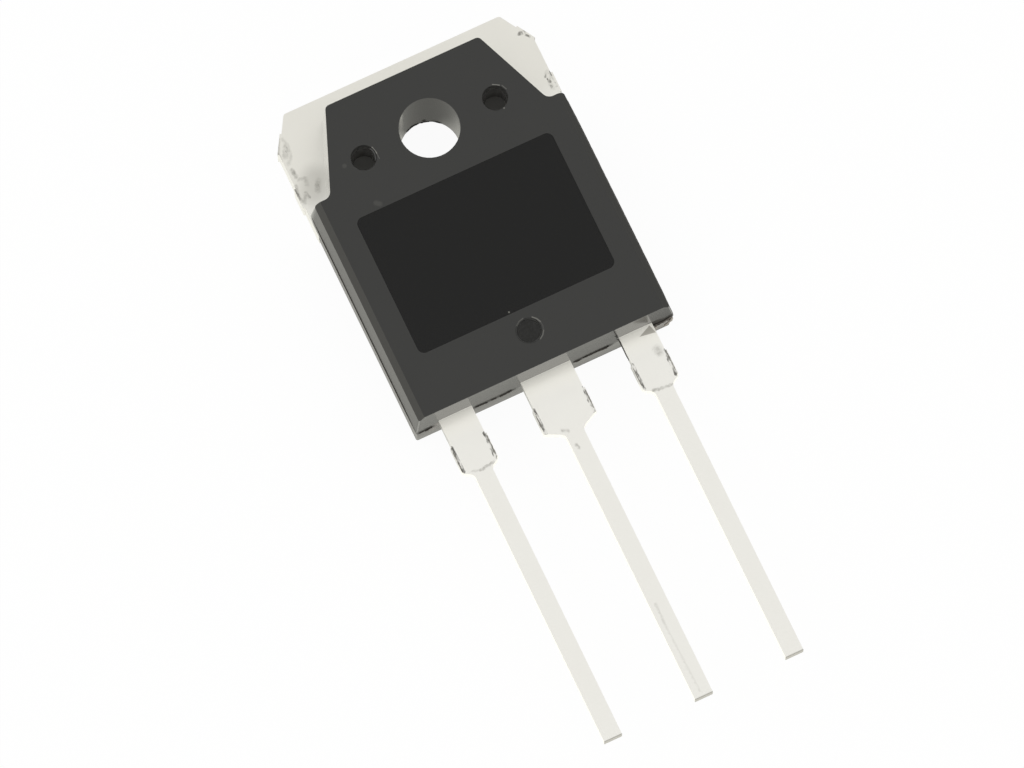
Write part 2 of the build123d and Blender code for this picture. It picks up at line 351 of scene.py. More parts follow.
    # Brown smears of resin bleed on the lead end, patchy at 0.3 mm.
    smears = scuffs(
        tree,
        place,
        lambda x, z: (x, lead_end, z),
        (
            ((6.7, 1.2), (7.6, 1.6), 0.9, 0.3, 0.9),
            ((-7.5, 1.5), (-6.9, 1.4), 0.5, 0.6, 0.2),
            ((-7.3, 0.75), (-6.7, 0.9), 0.05, 0.2, 0.4),
            ((-6.8, 1.3), (-6.5, 2.6), 0.2, 0.3, 0.55),
        ),
    )
    patchy = add_node(
        tree, "ShaderNodeTexNoise", {"Vector": place, "Scale": 1 / 0.3, "Detail": 3.0}
    )
    patchy = add_node(
        tree, "ShaderNodeMapRange", {0: patchy, 1: 0.35, 2: 0.6, 3: 0.4, 4: 1.0}
    )
    smears = add_node(tree, "ShaderNodeMath", {0: smears, 1: patchy}, operation="MULTIPLY")
    smears = add_node(tree, "ShaderNodeMath", {0: smears, 1: steep}, operation="MULTIPLY")
    skin = add_node(
        tree, "ShaderNodeMix", {0: smears, 6: skin, 7: linear("#7A716B")}, data_type="RGBA"
    )

    # Dark stain along the torn seam between the leads, deepened into a painted shadow under the
    # parting step, and round the bore's back mouth; and one pale strip down the bore, a painted
    # highlight.
    seam_stain_and_shadow = scuffs(
        tree,
        place,
        lambda x, z: (x, lead_end, z),
        (
            ((-7.5, 2.5), (-7.0, 2.55), 0.12, 0.35, 0.7),
            ((-4.2, 2.5), (-2.1, 2.5), 0.12, 0.35, 0.6),
            ((1.9, 2.5), (3.8, 2.5), 0.12, 0.35, 0.6),
            ((6.5, 2.75), (6.75, 2.7), 0.35, 0.3, 1.0),
            ((6.75, 2.55), (7.15, 2.6), 0.25, 0.3, 1.0),
            ((7.15, 2.6), (7.55, 2.85), 0.12, 0.25, 0.9),
        ),
    )
    seam_stain_and_shadow = add_node(tree, "ShaderNodeMath", {0: seam_stain_and_shadow, 1: outer}, operation="MULTIPLY")
    bore_marks = scuffs(
        tree,
        place,
        lambda angle, z: arc(0, 0, bore_radius, z, angle, angle)[0],
        (
            ((90, 0.1), (103, 0.25), 0.04, 0.2, 0.8),
            ((76, 0.5), (78, 0.45), 0.03, 0.1, 0.8),
            ((47, 0.18), (62, 0.28), 0.01, 0.08, 0.6),
        ),
    )
    seam_stain_and_shadow = add_node(tree, "ShaderNodeMath", {0: seam_stain_and_shadow, 1: bore_marks}, operation="MAXIMUM")
    # A painted highlight: one strip of the bore wall painted pale.
    bore_painted_highlight = scuff(tree, place, (-1.18, 1.22, 0.4), (-1.18, 1.22, 4.5), 0.08, 0.32)
    bore_painted_highlight = add_node(tree, "ShaderNodeMath", {0: bore_painted_highlight, 1: steep}, operation="MULTIPLY")
    skin = add_node(
        tree, "ShaderNodeMix", {0: bore_painted_highlight, 6: skin, 7: linear("#CAC8C0")}, data_type="RGBA"
    )
    skin = add_node(
        tree, "ShaderNodeMix", {0: seam_stain_and_shadow, 6: skin, 7: linear("#231F1B")}, data_type="RGBA"
    )

    # Gloss, from the matt skin to the mirror of the panel and the neck.
    roughness = add_node(tree, "ShaderNodeMix", {0: clouds, 2: 0.41, 3: 0.49}, data_type="FLOAT")
    wall_roughness = add_node(
        tree, "ShaderNodeMix", {0: sideways, 2: 0.22, 3: 0.3}, data_type="FLOAT"
    )
    roughness = add_node(
        tree, "ShaderNodeMix", {0: steep, 2: roughness, 3: wall_roughness}, data_type="FLOAT"
    )
    roughness = add_node(
        tree, "ShaderNodeMix", {0: mark_floor, 2: roughness, 3: 0.13}, data_type="FLOAT"
    )
    roughness = add_node(
        tree, "ShaderNodeMix", {0: panel, 2: roughness, 3: 0.1}, data_type="FLOAT"
    )
    hole_roughness = add_node(
        tree, "ShaderNodeMix", {0: upward, 2: 0.2, 3: 0.7}, data_type="FLOAT"
    )
    roughness = add_node(
        tree, "ShaderNodeMix", {0: in_hole, 2: roughness, 3: hole_roughness}, data_type="FLOAT"
    )
    roughness = add_node(
        tree, "ShaderNodeMix", {0: neck_gloss_and_sheen, 2: roughness, 3: 0.08}, data_type="FLOAT"
    )
    roughness = add_node(
        tree, "ShaderNodeMix", {0: seam_stain_and_shadow, 2: roughness, 3: 0.75}, data_type="FLOAT"
    )
    glazed = add_node(
        tree, "ShaderNodeMath", {0: glazed, 1: seam_stain_and_shadow}, operation="SUBTRACT", use_clamp=True
    )
    smooth = add_node(tree, "ShaderNodeMath", {0: panel, 1: steep}, operation="MAXIMUM")
    relief = add_node(tree, "ShaderNodeMix", {0: smooth, 2: grain, 3: 0.5}, data_type="FLOAT")
    bump = add_node(
        tree, "ShaderNodeBump", {"Strength": 0.25, "Distance": 0.02 * MM, "Height": relief}
    )
    shader = add_node(
        tree,
        "ShaderNodeBsdfPrincipled",
        {
            "Base Color": skin,
            "Roughness": roughness,
            "IOR": 1.55,
            "Normal": bump,
            "Coat Weight": glazed,
            "Coat Roughness": 0.12,
            "Coat IOR": 1.8,
        },
    )
    add_node(tree, "ShaderNodeOutputMaterial", {"Surface": shader})
    return finish


def matte_tin():
    """Matt electroplated tin on stamped copper: a pale, faintly warm grey with soft blotches.

    The tools that cut the leads apart left dark sheared strips where the dam bars and tie bars
    were, faint creases at the necks, and smudges.
    """
    finish, tree, place = new_finish("matte_tin_plating")
    axes = add_node(tree, "ShaderNodeSeparateXYZ", {0: place})
    blotches = add_node(
        tree, "ShaderNodeTexNoise", {"Vector": place, "Scale": 0.5, "Detail": 3.0}
    )
    crystals = add_node(
        tree, "ShaderNodeTexNoise", {"Vector": place, "Scale": 1 / 0.1, "Detail": 2.0}
    )
    skin = add_node(
        tree,
        "ShaderNodeMix",
        {0: blotches, 6: linear("#F6F5F1"), 7: linear("#EFEDE9")},
        data_type="RGBA",
    )
    # The tab is painted a little darker than the leads: painted shade, as it lies lower beside the
    # housing.
    on_tab = add_node(
        tree, "ShaderNodeMapRange", {0: axes.outputs["Y"], 1: -1.2, 2: 0.5, 3: 0.0, 4: 1.0}
    )
    skin = add_node(
        tree, "ShaderNodeMix", {0: on_tab, 6: skin, 7: linear("#E9E7E1")}, data_type="RGBA"
    )

    # Beside the moulding the leads' plating is painted a creamy white: painted light that
    # outweighs the dark housing they mirror.
    painted_lift_near_body = add_node(
        tree,
        "ShaderNodeMapRange",
        {0: axes.outputs["Y"], 1: lead_end - 1.6, 2: lead_end - 0.1, 3: 0.0, 4: 1.0},
        interpolation_type="SMOOTHSTEP",
    )
    on_leads = add_node(
        tree, "ShaderNodeMath", {0: axes.outputs["Y"], 1: lead_end + 1}, operation="LESS_THAN"
    )
    painted_lift_near_body = add_node(tree, "ShaderNodeMath", {0: painted_lift_near_body, 1: on_leads}, operation="MULTIPLY")
    skin = add_node(
        tree, "ShaderNodeMix", {0: painted_lift_near_body, 6: skin, 7: linear("#FFFDF6")}, data_type="RGBA"
    )

    # The cut sides are burnished by the punch and read almost white.
    facing = add_node(tree, "ShaderNodeNewGeometry").outputs["True Normal"]
    facing = add_node(tree, "ShaderNodeSeparateXYZ", {0: facing}).outputs["Z"]
    cut = add_node(tree, "ShaderNodeMath", {0: facing}, operation="ABSOLUTE")
    cut = add_node(tree, "ShaderNodeMath", {0: cut, 1: UPRIGHT}, operation="LESS_THAN")
    skin = add_node(
        tree, "ShaderNodeMix", {0: cut, 6: skin, 7: linear("#FBFAF8")}, data_type="RGBA"
    )

    # Ragged edges for every mark: the place they are measured from wanders by up to 0.1 mm, and
    # on the sheared strips of the leads in longer streaks.
    tear = add_node(
        tree, "ShaderNodeTexNoise", {"Vector": place, "Scale": 1 / 0.16, "Detail": 2.0}
    )
    wander = add_node(
        tree,
        "ShaderNodeVectorMath",
        {0: tear.outputs["Color"], 1: (0.5, 0.5, 0.5)},
        operation="SUBTRACT",
    )
    wander = add_node(
        tree,
        "ShaderNodeVectorMath",
        {0: wander, 1: (0.16, 0.16, 0), 2: place},
        operation="MULTIPLY_ADD",
    )
    drawn = add_node(
        tree, "ShaderNodeVectorMath", {0: place, 1: (1, 0.3, 1)}, operation="MULTIPLY"
    )
    streaks = add_node(
        tree, "ShaderNodeTexNoise", {"Vector": drawn, "Scale": 1 / 0.13, "Detail": 3.0}
    )
    streaked = add_node(
        tree,
        "ShaderNodeVectorMath",
        {0: streaks.outputs["Color"], 1: (0.5, 0.5, 0.5)},
        operation="SUBTRACT",
    )
    streaked = add_node(
        tree,
        "ShaderNodeVectorMath",
        {0: streaked, 1: (0.2, 0, 0), 2: place},
        operation="MULTIPLY_ADD",
    )

    def on_lead(x, y):
        return x, y, lead_front

    def on_plate(x, y):
        return x, y, plate_gauge

    # Dark strips where the dam bars and tie bars were sheared off.
    sheared = []
    for axis, half in wide_leads:
        for side in (-1, 1):
            x = axis + side * (half - 0.02)
            sheared.append(
                (
                    (x, lead_end - dam_bar_start - 0.05),
                    (x - side * 0.02, lead_end - dam_bar_end + 0.05),
                    0.06,
                    0.06,
                    0.9,
                )
            )
    sheared_tab = (
        ((7.17, 3.6), (7.42, 3.6), 0.06, 0.1, 0.7),
        ((7.48, 3.39), (7.62, 3.24), 0.03, 0.07, 0.7),
        ((7.39, 0.75), (7.56, 0.86), 0.03, 0.06, 0.55),
        ((7.51, 0.55), (7.52, 0.4), 0.05, 0.08, 1.0),
        ((7.48, 0.17), (7.48, 0.04), 0.03, 0.06, 0.7),
        ((7.74, 0.9), (7.75, 0.72), 0.02, 0.05, 0.8),
        ((7.75, 0.26), (7.75, -0.02), 0.02, 0.05, 0.7),
        ((7.62, 0.9), (7.55, 0.05), 0.1, 0.15, 0.22),
        ((-7.84, 0.9), (-7.82, 0.2), 0.02, 0.08, 0.6),
        ((-7.37, 0.3), (-7.3, 0.1), 0.03, 0.1, 0.4),
        ((-6.55, 0.6), (-6.65, 0.35), 0.03, 0.12, 0.4),
        ((-7.49, 1.84), (-7.4, 1.7), 0.03, 0.08, 0.4),
        ((-7.28, 3.2), (-7.34, 3.0), 0.02, 0.1, 0.4),
    )
    dark = add_node(
        tree,
        "ShaderNodeMath",
        {
            0: scuffs(tree, streaked, on_lead, sheared),
            1: scuffs(tree, wander, on_plate, sheared_tab),
        },
        operation="MAXIMUM",
    )
    mottle = add_node(
        tree, "ShaderNodeMapRange", {0: streaks, 1: 0.38, 2: 0.6, 3: 0.1, 4: 1.0}
    )
    dark = add_node(tree, "ShaderNodeMath", {0: dark, 1: mottle}, operation="MULTIPLY")

    # Creases and rubs on the leads, and bruises and a soft darker patch on the tab.
    necks = (
        ((gate_x - 0.52, -18.17), (gate_x - 0.13, -18.3), 0.01, 0.09, 0.45),
        ((gate_x - 0.13, -18.3), (gate_x + 0.72, -18.2), 0.02, 0.1, 0.9),
        ((source_x - 0.56, -18.3), (source_x - 0.3, -18.36), 0.03, 0.12, 0.9),
        ((source_x - 0.3, -18.36), (source_x + 0.53, -18.42), 0.02, 0.1, 0.8),
        ((drain_x - 0.6, -18.2), (drain_x - 0.3, -18.36), 0.0, 0.16, 0.8),
        ((drain_x - 0.22, -19.25), (drain_x - 0.18, -19.45), 0.02, 0.12, 1.0),
        ((source_x + 0.62, -16.28), (source_x + 0.65, -16.5), 0.02, 0.32, 0.75),
        ((drain_x - 0.16, -29.1), (drain_x - 0.2, -30.5), 0.0, 0.12, 0.4),
        ((drain_x - 0.2, -30.5), (drain_x - 0.08, -34.5), 0.0, 0.1, 0.25),
    )
    bruises = (
        ((-7.43, 3.83), (-7.79, 3.12), 0.02, 0.12, 0.8),
        ((-7.79, 3.12), (-7.86, 2.57), 0.02, 0.12, 0.9),
        ((-7.23, 3.24), (-7.51, 2.77), 0.1, 0.15, 0.6),
        ((-7.26, 3.74), (-7.13, 3.35), 0.0, 0.15, 0.5),
        ((-7.13, 3.35), (-7.23, 2.64), 0.0, 0.15, 0.6),
        ((-7.23, 2.64), (-7.55, 2.3), 0.0, 0.18, 0.5),
        ((-7.51, 1.89), (-7.48, 1.46), 0.03, 0.15, 0.9),
        ((-7.43, 1.25), (-7.04, 1.18), 0.02, 0.14, 0.7),
        ((-7.04, 1.18), (-7.12, 0.78), 0.02, 0.16, 0.7),
        ((-7.7, 1.0), (-7.84, 0.3), 0.02, 0.14, 0.9),
        ((-7.84, 0.3), (-7.67, -0.06), 0.02, 0.14, 0.9),
        ((-7.67, -0.06), (-7.37, 0.4), 0.02, 0.14, 0.8),
        ((-6.47, 0.74), (-6.7, 0.25), 0.05, 0.2, 0.7),
    )
    soft_dark_patch = scuff(tree, place, on_plate(-6.6, 0.9), on_plate(-7.0, 0.3), 0.2, 1.0)
    soft_dark_patch = add_node(tree, "ShaderNodeMath", {0: soft_dark_patch, 1: 0.4}, operation="MULTIPLY")
    skin = add_node(
        tree, "ShaderNodeMix", {0: soft_dark_patch, 6: skin, 7: linear("#A8A6A0")}, data_type="RGBA"
    )
    worn = add_node(
        tree,
        "ShaderNodeMath",
        {
            0: scuffs(tree, wander, on_lead, necks),
            1: scuffs(tree, wander, on_plate, bruises),
        },
        operation="MAXIMUM",
    )
    rubbed = add_node(
        tree, "ShaderNodeMapRange", {0: tear, 1: 0.3, 2: 0.7, 3: 0.3, 4: 0.9}
    )
    worn = add_node(tree, "ShaderNodeMath", {0: worn, 1: rubbed}, operation="MULTIPLY")
    skin = add_node(
        tree, "ShaderNodeMix", {0: worn, 6: skin, 7: linear("#A8A6A0")}, data_type="RGBA"
    )
    skin = add_node(
        tree, "ShaderNodeMix", {0: dark, 6: skin, 7: linear("#4E4C47")}, data_type="RGBA"
    )

    # A grey triangle over the corner of the source lead, cut off along a straight line.
    triangle_edges = (
        ((0.05, -0.4), (0.82, -0.05)),
        ((0.82, -0.05), (0.98, -0.55)),
        ((0.98, -0.55), (0.05, -0.4)),
    )
    grey_triangle = add_node(
        tree,
        "ShaderNodeMath",
        {0: axes.outputs["Z"], 1: lead_front, 2: 0.01},
        operation="COMPARE",
    )
    for (x, y), (next_x, next_y) in triangle_edges:
        across = Vector((next_y - y, x - next_x, 0)).normalized()
        inside = add_node(
            tree,
            "ShaderNodeVectorMath",
            {0: place, 1: (source_x + x, lead_end + y, 0)},
            operation="SUBTRACT",
        )
        inside = add_node(
            tree, "ShaderNodeVectorMath", {0: inside, 1: across}, operation="DOT_PRODUCT"
        )
        inside = add_node(tree, "ShaderNodeMapRange", {0: inside, 1: -0.02, 2: 0.02})
        grey_triangle = add_node(tree, "ShaderNodeMath", {0: grey_triangle, 1: inside}, operation="MULTIPLY")
    skin = add_node(
        tree, "ShaderNodeMix", {0: grey_triangle, 6: skin, 7: linear("#BBB8B0")}, data_type="RGBA"
    )

    # The sheared tips show darker copper and torn plating.
    tips = add_node(
        tree,
        "ShaderNodeMapRange",
        {0: axes.outputs["Y"], 1: lead_tip + 0.01, 2: lead_tip + 0.07, 3: 0.75, 4: 0.0},
    )
    skin = add_node(
        tree, "ShaderNodeMix", {0: tips, 6: skin, 7: linear("#77736B")}, data_type="RGBA"
    )

    roughness = add_node(tree, "ShaderNodeMix", {0: blotches, 2: 0.3, 3: 0.38}, data_type="FLOAT")
    roughness = add_node(
        tree, "ShaderNodeMix", {0: dark, 2: roughness, 3: 0.6}, data_type="FLOAT"
    )
    bump = add_node(
        tree,
        "ShaderNodeBump",
        {"Strength": 0.15, "Distance": 0.01 * MM, "Height": crystals},
    )
    dents = add_node(tree, "ShaderNodeMix", {0: dark, 2: 1.0, 3: 0.0}, data_type="FLOAT")
    bump = add_node(
        tree,
        "ShaderNodeBump",
        {"Strength": 0.5, "Distance": 0.03 * MM, "Height": dents, "Normal": bump},
    )
    shader = add_node(
        tree,
        "ShaderNodeBsdfPrincipled",
        {"Base Color": skin, "Metallic": 1.0, "Roughness": roughness, "Normal": bump},
    )
    add_node(tree, "ShaderNodeOutputMaterial", {"Surface": shader})
    return finish


def drifting(name, bright, dull, rough_low, rough_high, scale, metallic):
    """A finish whose colour and gloss drift over patches of the given size in millimetres."""
    finish, tree, place = new_finish(name)
    drift = add_node(
        tree, "ShaderNodeTexNoise", {"Vector": place, "Scale": 1 / scale, "Detail": 3.0}
    )
    skin = add_node(
        tree,
        "ShaderNodeMix",
        {0: drift, 6: linear(bright), 7: linear(dull)},
        data_type="RGBA",
    )
    roughness = add_node(
        tree, "ShaderNodeMix", {0: drift, 2: rough_low, 3: rough_high}, data_type="FLOAT"
    )
    shader = add_node(
        tree,
        "ShaderNodeBsdfPrincipled",
        {"Base Color": skin, "Metallic": metallic, "Roughness": roughness},
    )
    add_node(tree, "ShaderNodeOutputMaterial", {"Surface": shader})
    return finish


epoxy = molded_epoxy()
tin = matte_tin()
# Resin torn off at the dam: the same epoxy, broken open, so brown-black and dull.
torn_resin = drifting("torn_epoxy_flash", "#3C352E", "#1C1814", 0.5, 0.7, 0.15, 0.0)
# Resin that bled thin over the mould's edge: greyish beige and dull.
bleed = drifting("thin_resin_bleed", "#CBC5BD", "#A8A199", 0.4, 0.6, 0.2, 0.0)
# Copper cut by the trimming tool and smeared with tin: grey, mottled and rough.
cut_metal = drifting("sheared_tinned_copper", "#B5B2AB", "#4A4741", 0.45, 0.65, 0.16, 1.0)
# Soft solder that wetted the chip: dull grey metal, finely grained.
solder = drifting("soft_lead_solder", "#9A9A98", "#7C7C7A", 0.3, 0.45, 0.8, 1.0)
# The chip's metallised top: a smooth pale mirror.
silicon = drifting("metallised_silicon_chip", "#B9B6B0", "#A5A29C", 0.12, 0.2, 1.5, 1.0)
# Drawn aluminium wire: bright with faint drawing marks.
aluminium = drifting("drawn_aluminium_wire", "#D8D8D8", "#C6C6C8", 0.22, 0.35, 0.3, 1.0)

finishes = {
    "mold_body": epoxy,
    "drain_header": tin,
    "gate_lead": tin,
    "source_lead": tin,
    "die_solder": solder,
    "silicon_die": silicon,
    "gate_bond_wire": aluminium,
    "source_bond_wire_a": aluminium,
    "source_bond_wire_b": aluminium,
}
for node, finish in finishes.items():
    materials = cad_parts[node].data.materials
    materials.clear()
    materials.append(finish)

# ---- what grows along a line ---------------------------------------------------------------


def torn_edge_tree():
    """Sweeps a ragged bead along each line it is given and strews crumbs over it."""
    tree = bpy.data.node_groups.new("torn_edge", "GeometryNodeTree")
    for name, direction, kind in (
        ("Lines", "INPUT", "NodeSocketGeometry"),
        ("Bead Radius", "INPUT", "NodeSocketFloat"),
        ("Raggedness", "INPUT", "NodeSocketFloat"),
        ("Step", "INPUT", "NodeSocketFloat"),
        ("Crumb Radius", "INPUT", "NodeSocketFloat"),
        ("Crumb Share", "INPUT", "NodeSocketFloat"),
        ("Seed", "INPUT", "NodeSocketInt"),
        ("Finish", "INPUT", "NodeSocketMaterial"),
        ("Piece", "OUTPUT", "NodeSocketGeometry"),
    ):
        tree.interface.new_socket(name, in_out=direction, socket_type=kind)
    given = add_node(tree, "NodeGroupInput").outputs
    lines = add_node(tree, "GeometryNodeMeshToCurve", {"Mesh": given["Lines"]})
    lines = add_node(
        tree,
        "GeometryNodeResampleCurve",
        {"Curve": lines, "Length": given["Step"]},
        mode="LENGTH",
    )

    # Lumps three steps long swell, pinch and shift the bead; it thins out towards its ends.
    lump = add_node(tree, "ShaderNodeMath", {0: 0.33, 1: given["Step"]}, operation="DIVIDE")
    noise = add_node(
        tree,
        "ShaderNodeTexNoise",
        {"Vector": add_node(tree, "GeometryNodeInputPosition"), "W": given["Seed"], "Scale": lump},
        noise_dimensions="4D",
    )
    swing = add_node(
        tree,
        "ShaderNodeVectorMath",
        {0: noise.outputs["Color"], 1: (0.5, 0.5, 0.5)},
        operation="SUBTRACT",
    )
    reach = add_node(
        tree,
        "ShaderNodeMath",
        {0: given["Bead Radius"], 1: given["Raggedness"]},
        operation="MULTIPLY",
    )
    reach = add_node(tree, "ShaderNodeMath", {0: reach, 1: 3.0}, operation="MULTIPLY")
    swing = add_node(
        tree, "ShaderNodeVectorMath", {0: swing, "Scale": reach}, operation="SCALE"
    )
    lines = add_node(tree, "GeometryNodeSetPosition", {"Geometry": lines, "Offset": swing})
    swell = add_node(tree, "ShaderNodeMath", {0: noise, 1: 0.5}, operation="SUBTRACT")
    swell = add_node(
        tree,
        "ShaderNodeMath",
        {0: swell, 1: given["Raggedness"]},
        operation="MULTIPLY",
    )
    swell = add_node(
        tree, "ShaderNodeMath", {0: swell, 1: 5.0, 2: 1.0}, operation="MULTIPLY_ADD"
    )
    factor = add_node(tree, "GeometryNodeSplineParameter").outputs["Factor"]
    taper = add_node(tree, "ShaderNodeMath", {0: factor, 1: 0.5}, operation="SUBTRACT")
    taper = add_node(tree, "ShaderNodeMath", {0: taper}, operation="ABSOLUTE")
    taper = add_node(
        tree, "ShaderNodeMapRange", {0: taper, 1: 0.38, 2: 0.5, 3: 1.0, 4: 0.25}
    )
    swell = add_node(tree, "ShaderNodeMath", {0: swell, 1: taper}, operation="MULTIPLY")
    swell = add_node(tree, "ShaderNodeMath", {0: swell, 1: 0.15}, operation="MAXIMUM")
    section = add_node(
        tree,
        "GeometryNodeCurvePrimitiveCircle",
        {"Resolution": 7, "Radius": given["Bead Radius"]},
    )
    bead = add_node(
        tree,
        "GeometryNodeCurveToMesh",
        {"Curve": lines, "Profile Curve": section, "Scale": swell, "Fill Caps": True},
    )

    # Crumbs that broke off and stuck.
    points = add_node(
        tree,
        "GeometryNodeCurveToPoints",
        {"Curve": lines, "Length": given["Step"]},
        mode="LENGTH",
    )
    some = add_node(
        tree,
        "FunctionNodeRandomValue",
        {"Probability": given["Crumb Share"], "Seed": given["Seed"]},
        data_type="BOOLEAN",
    )
    sizes = add_node(
        tree,
        "FunctionNodeRandomValue",
        {0: (0.4, 0.4, 0.4), 1: (1.2, 1.2, 1.2), "Seed": given["Seed"]},
        data_type="FLOAT_VECTOR",
    )
    turns = add_node(
        tree,
        "FunctionNodeRandomValue",
        {0: (0, 0, 0), 1: (6, 6, 6), "Seed": given["Seed"]},
        data_type="FLOAT_VECTOR",
    )
    crumb = add_node(
        tree, "GeometryNodeMeshIcoSphere", {"Radius": given["Crumb Radius"], "Subdivisions": 1}
    )
    crumbs = add_node(
        tree,
        "GeometryNodeInstanceOnPoints",
        {
            "Points": points,
            "Selection": some,
            "Instance": crumb,
            "Rotation": turns,
            "Scale": sizes,
        },
    )
    piece = add_node(tree, "GeometryNodeJoinGeometry")
    for part in (bead, crumbs):
        tree.links.new(part.outputs[0], piece.inputs[0])
    piece = add_node(tree, "GeometryNodeRealizeInstances", {"Geometry": piece})
    piece = add_node(
        tree, "GeometryNodeSetMaterial", {"Geometry": piece, "Material": given["Finish"]}
    )
    add_node(tree, "NodeGroupOutput", {"Piece": piece})
    return tree


torn_edge = torn_edge_tree()


def grow(name, lines, finish, radius, raggedness, step, crumb, share, seed):
    """Grows one piece of torn edge along lines of points, all in millimetres."""
    points, edges = [], []
    for line in lines:
        first = len(points)
        points += [Vector(point) * MM for point in line]
        edges += [(i, i + 1) for i in range(first, len(points) - 1)]
    mesh = bpy.data.meshes.new(name)
    mesh.from_pydata(points, edges, [])
    piece = bpy.data.objects.new(name, mesh)
    bpy.context.collection.objects.link(piece)
    modifier = piece.modifiers.new("torn_edge", "NODES")
    modifier.node_group = torn_edge
    wanted = {
        "Bead Radius": radius * MM,
        "Raggedness": raggedness,
        "Step": step * MM,
        "Crumb Radius": crumb * MM,
        "Crumb Share": share,
        "Seed": seed,
        "Finish": finish,
    }
    for socket in torn_edge.interface.items_tree:
        if socket.name in wanted:
            modifier[socket.identifier] = wanted[socket.name]
    shown = piece.evaluated_get(bpy.context.evaluated_depsgraph_get())
    grown = bpy.data.meshes.new_from_object(shown)
    piece.modifiers.remove(modifier)
    piece.data = grown
    shell = bmesh.new()
    shell.from_mesh(grown)
    bmesh.ops.recalc_face_normals(shell, faces=shell.faces)
    shell.to_mesh(grown)
    shell.free()
    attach(piece, "root")


# Resin squeezed out between the leads and torn off with the dam bars.
wall = lead_end - 0.02
grow(
    "torn_dam_resin",
    [
        [(-7.66, wall, 2.56), (-7.5, wall, 2.58), (-7.34, wall, 2.6)],
        [(-7.3, wall, 2.56), (-7.1, wall, 2.6), (-6.9, wall, 2.66)],
        [(-4.2, wall, 2.6), (-3.85, wall, 2.58), (-3.5, wall, 2.5)],
        [(-3.3, wall, 2.6), (-2.95, wall, 2.52)],
        [(-2.75, wall, 2.52), (-2.4, wall, 2.56), (-2.1, wall, 2.64)],
        [(1.74, wall, 2.52), (2.0, wall, 2.5), (2.2, wall, 2.56)],
        [(2.2, wall, 2.6), (2.9, wall, 2.6), (3.8, wall, 2.62)],
        [(3.3, wall, 2.5), (3.75, wall, 2.54)],
    ],
    torn_resin,
    radius=0.04,
    raggedness=0.5,
    step=0.06,
    crumb=0.05,
    share=0.5,
    seed=4,
)
grow(
    "torn_corner_resin",
    [
        [(6.5, wall, 2.5), (6.75, wall, 2.42), (6.95, wall, 2.46), (7.2, wall, 2.5)],
        [(6.52, wall, 2.72), (6.8, wall, 2.62), (7.1, wall, 2.64)],
        [(7.0, wall, 2.58), (7.3, wall, 2.68), (7.6, wall + 0.02, 2.85)],
    ],
    torn_resin,
    radius=0.05,
    raggedness=0.5,
    step=0.07,
    crumb=0.04,
    share=0.4,
    seed=9,
)
grow(
    "lead_side_flash",
    [
        [
            (source_x - outer_half_width - 0.18, wall, 3.5),
            (source_x - outer_half_width - 0.04, wall - 0.02, 3.1),
            (source_x - outer_half_width - 0.01, wall - 0.3, 2.9),
            (source_x - outer_half_width - 0.01, wall - 0.8, 2.85),
            (source_x - outer_half_width - 0.01, wall - 1.25, 2.85),
        ]
    ],
    torn_resin,
    radius=0.035,
    raggedness=0.3,
    step=0.08,
    crumb=0.03,
    share=0.2,
    seed=2,
)
# A lump of pale resin bleed on one back corner.
grow(
    "corner_bleed",
    [
        [(7.2, lead_end, 1.3), (7.5, lead_end, 1.7), (7.66, lead_end, 2.05), (7.7, lead_end, 2.4)],
        [(6.6, lead_end, 1.9), (6.8, lead_end, 1.95)],
    ],
    bleed,
    radius=0.07,
    raggedness=0.3,
    step=0.08,
    crumb=0.03,
    share=0.3,
    seed=8,
)
# The fine fin of resin where the mould halves met, along both sides.
grow(
    "parting_fin",
    [
        [
            (side * body_side, lead_end + 0.15, parting_height),
            (side * body_side, -1.3, parting_height),
        ]
        for side in (-1, 1)
    ],
    torn_resin,
    radius=0.04,
    raggedness=0.12,
    step=0.1,
    crumb=0.02,
    share=0.05,
    seed=7,
)
# Thin, broken flash round the back mouth of the bore.
flash = bore_radius - 0.01
grow(
    "bore_flash",
    [
        arc(0, 0, flash, 0.06, 88, 96),
        arc(0, 0, flash, 0.2, 94, 103),
        arc(0, 0, flash, 0.09, 100, 116),
        arc(0, 0, flash, 0.3, 74, 78),
        arc(0, 0, flash, 0.05, 66, 84),
        arc(0, 0, flash, 0.08, 44, 58),
    ],
    torn_resin,
    radius=0.02,
    raggedness=0.6,
    step=0.06,
    crumb=0.03,
    share=0.4,
    seed=6,
)
# A flap of resin left on the rim of one pin hole.
grow(
    "pin_hole_flap",
    [arc(-pin_hole_x, 0, pin_hole_radius - 0.06, front_face - 0.09, -38, 36)],
    epoxy,
    radius=0.075,
    raggedness=0.12,
    step=0.1,
    crumb=0.03,
    share=0.1,
    seed=3,
)
# The rounded rim inside the ejector mark.
grow(
    "ejector_rim",
    [arc(0, ejector_centre.y, ejector_radius - 0.03, front_face - 0.045, 0, 345)],
    epoxy,
    radius=0.035,
    raggedness=0.06,
    step=0.08,
    crumb=0.01,
    share=0.0,
    seed=5,
)
# Burrs that the trimming tool raised on the six dam-bar stubs.
burr_lines = []
for axis, half in wide_leads:
    for side in (-1, 1):
        x = axis + side * (half + 0.03)
        burr_lines.append(
            [
                (x, lead_end - dam_bar_start - 0.15, lead_front - 0.02),
                (x, lead_end - dam_bar_end + 0.15, lead_front - 0.02),
            ]
        )
grow(
    "dam_bar_burrs",
    burr_lines,
    cut_metal,
    radius=0.035,
    raggedness=0.45,
    step=0.07,
    crumb=0.035,
    share=0.4,
    seed=8,
)
